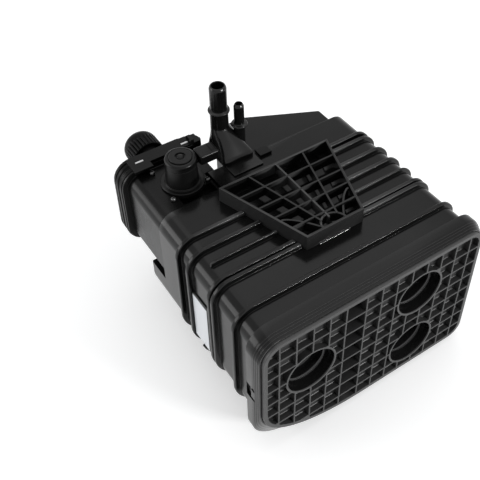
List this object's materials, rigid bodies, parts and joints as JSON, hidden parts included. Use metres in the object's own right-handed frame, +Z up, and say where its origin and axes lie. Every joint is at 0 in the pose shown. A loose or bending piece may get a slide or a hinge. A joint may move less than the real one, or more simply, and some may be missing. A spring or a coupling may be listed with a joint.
{
  "type": "charcoal canister",
  "caption": "Black plastic fuel vapour canister: ribbed box with a lattice front cover, open bracket on top, shut-off valve, vent filter housing and hose stubs.",
  "frame": {"origin": "middle of the bounding box, at the level of the case collar's underside", "axes": "+Z up, -Y out of the ribbed front cover, +Y towards the vent cap at the rear, +X to the right as seen from the front"},
  "size_m": [0.2308, 0.2726, 0.2193],
  "materials": {
    "case_plastic": "satin",
    "cover_plastic": "satin",
    "housing_plastic": "satin",
    "cap_plastic": "satin",
    "bracket_plastic": "satin",
    "fitting_plastic": "semi-gloss",
    "valve_plastic": "satin",
    "seal_rubber": "matte",
    "screw_steel": "zinc",
    "label_film": "satin",
    "lug_plastic": "satin",
    "plate_plastic": "matte",
    "spring_steel": "bright",
    "fleece_felt": "matte",
    "carbon_bed": "granular matt",
    "filter_felt": "matte"
  },
  "bodies": {
    "root": {"bracket": "bracket_plastic", "carbon_left": "carbon_bed", "carbon_lower": "carbon_bed", "carbon_upper": "carbon_bed", "case": "case_plastic", "clip_tab": "housing_plastic", "cover": "cover_plastic", "filter_element": "filter_felt", "filter_housing": "housing_plastic", "filter_lid": "housing_plastic", "fleece_back_left": "fleece_felt", "fleece_back_lower": "fleece_felt", "fleece_back_upper": "fleece_felt", "fleece_front_left": "fleece_felt", "fleece_front_lower": "fleece_felt", "fleece_front_upper": "fleece_felt", "hose_fitting": "fitting_plastic", "label": "label_film", "lock_strip": "housing_plastic", "lug_left": "lug_plastic", "lug_right": "lug_plastic", "plate_left": "plate_plastic", "plate_lower": "plate_plastic", "plate_upper": "plate_plastic", "spring_left": "spring_steel", "spring_lower": "spring_steel", "spring_upper": "spring_steel", "valve_body": "valve_plastic", "valve_cap": "valve_plastic", "valve_connector": "valve_plastic", "valve_ring": "valve_plastic", "valve_screw_1": "screw_steel", "valve_screw_2": "screw_steel", "valve_screw_3": "screw_steel", "valve_seal": "seal_rubber", "vent_cap": "cap_plastic"}
  },
  "joints": []
}
